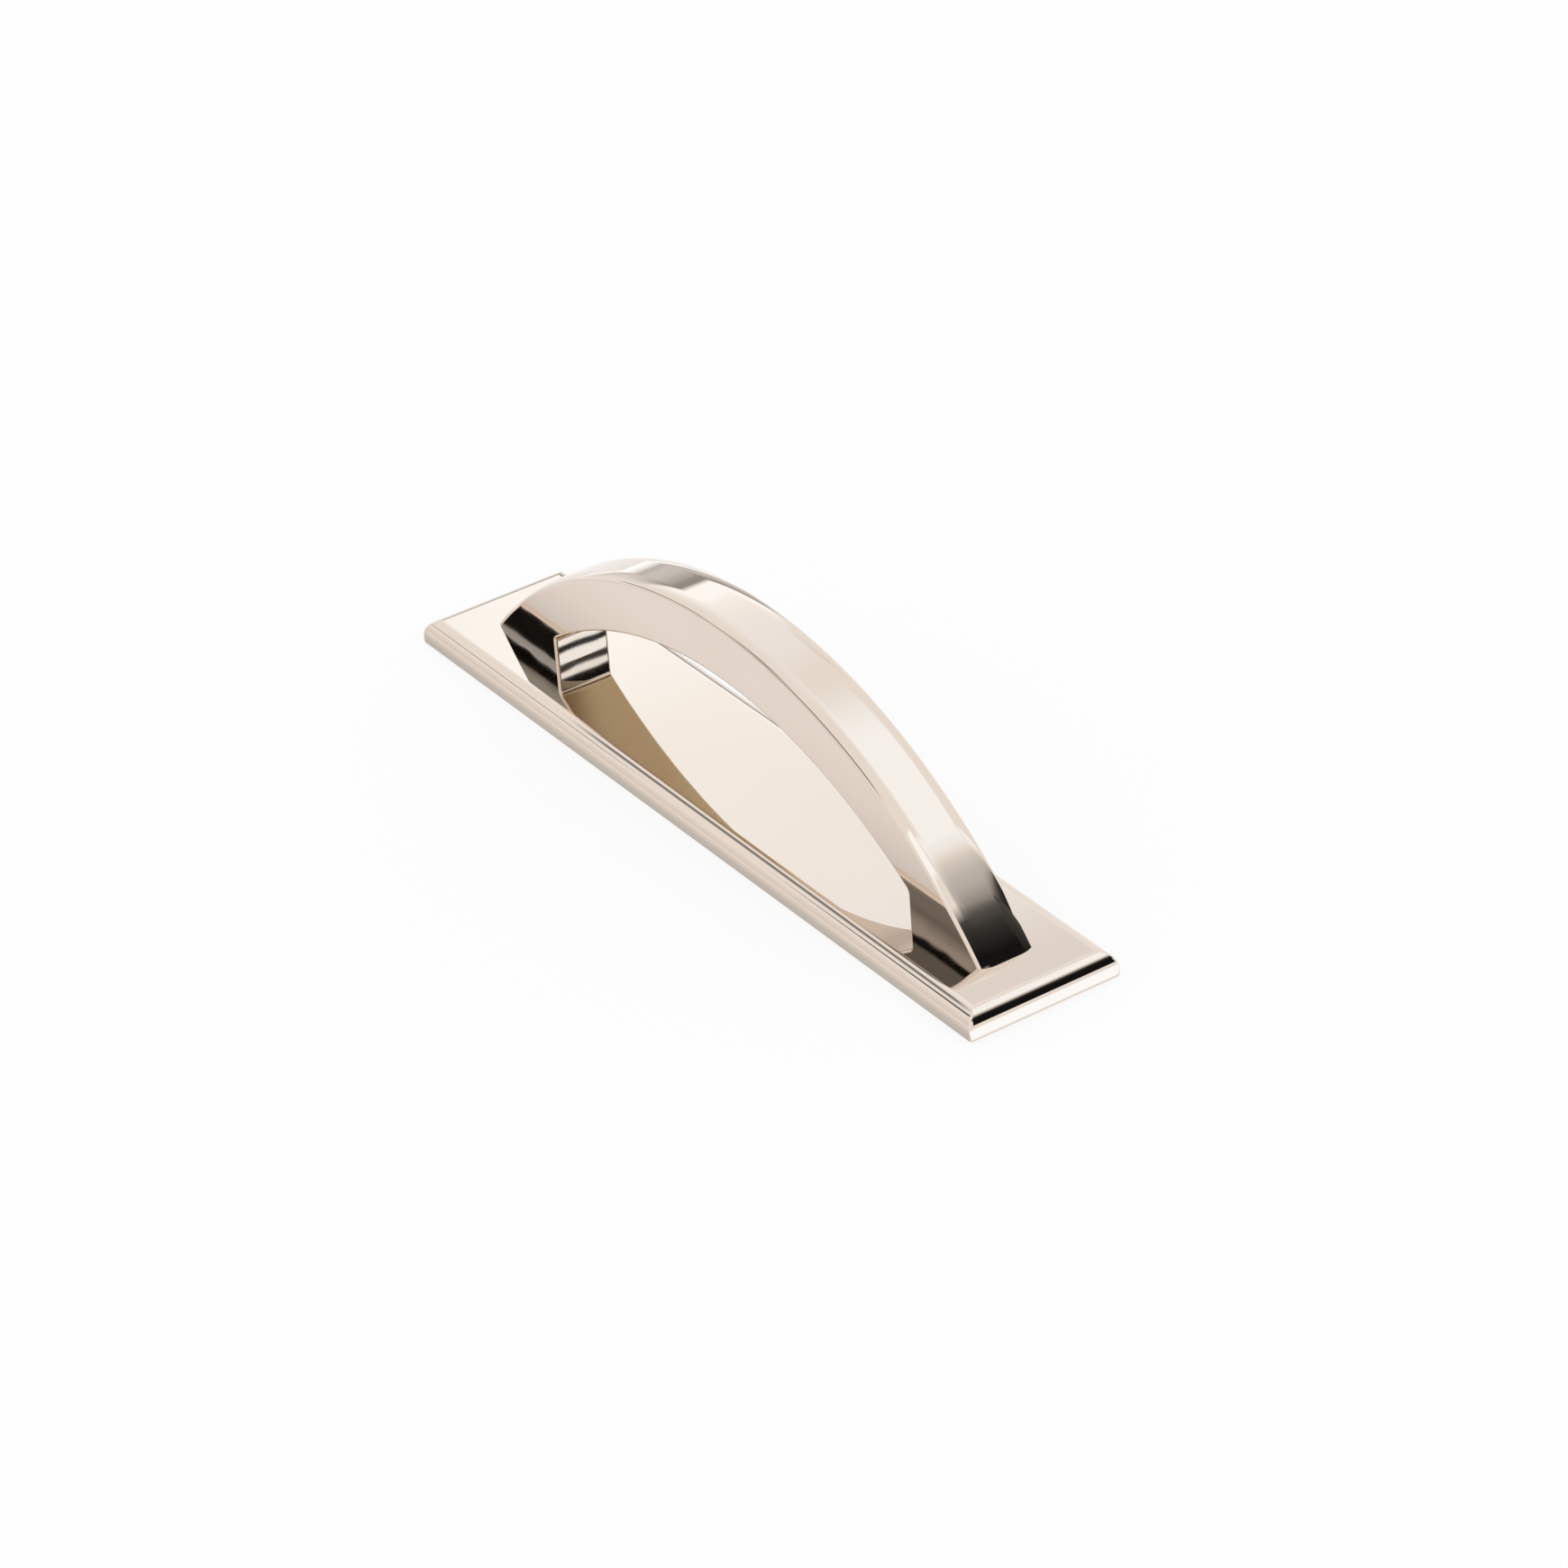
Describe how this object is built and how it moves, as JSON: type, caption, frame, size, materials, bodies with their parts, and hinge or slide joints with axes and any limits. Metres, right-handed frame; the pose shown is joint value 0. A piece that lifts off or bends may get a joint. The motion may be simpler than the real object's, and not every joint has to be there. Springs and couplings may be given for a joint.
{
  "type": "cabinet pull",
  "caption": "Arched bar pull on a long bevelled backplate, one plated casting with tapped screw holes in its feet.",
  "frame": {"origin": "centre of the backplate's back face, midway between the two screw holes", "axes": "+X along the pull, +Y across it, +Z out of the cabinet front, towards the hand"},
  "size_m": [0.128, 0.0234, 0.029],
  "materials": {
    "plated_metal": "polished nickel plate, warm grey, mirror bright"
  },
  "bodies": {
    "root": {"pull_body": "plated_metal"}
  },
  "joints": []
}
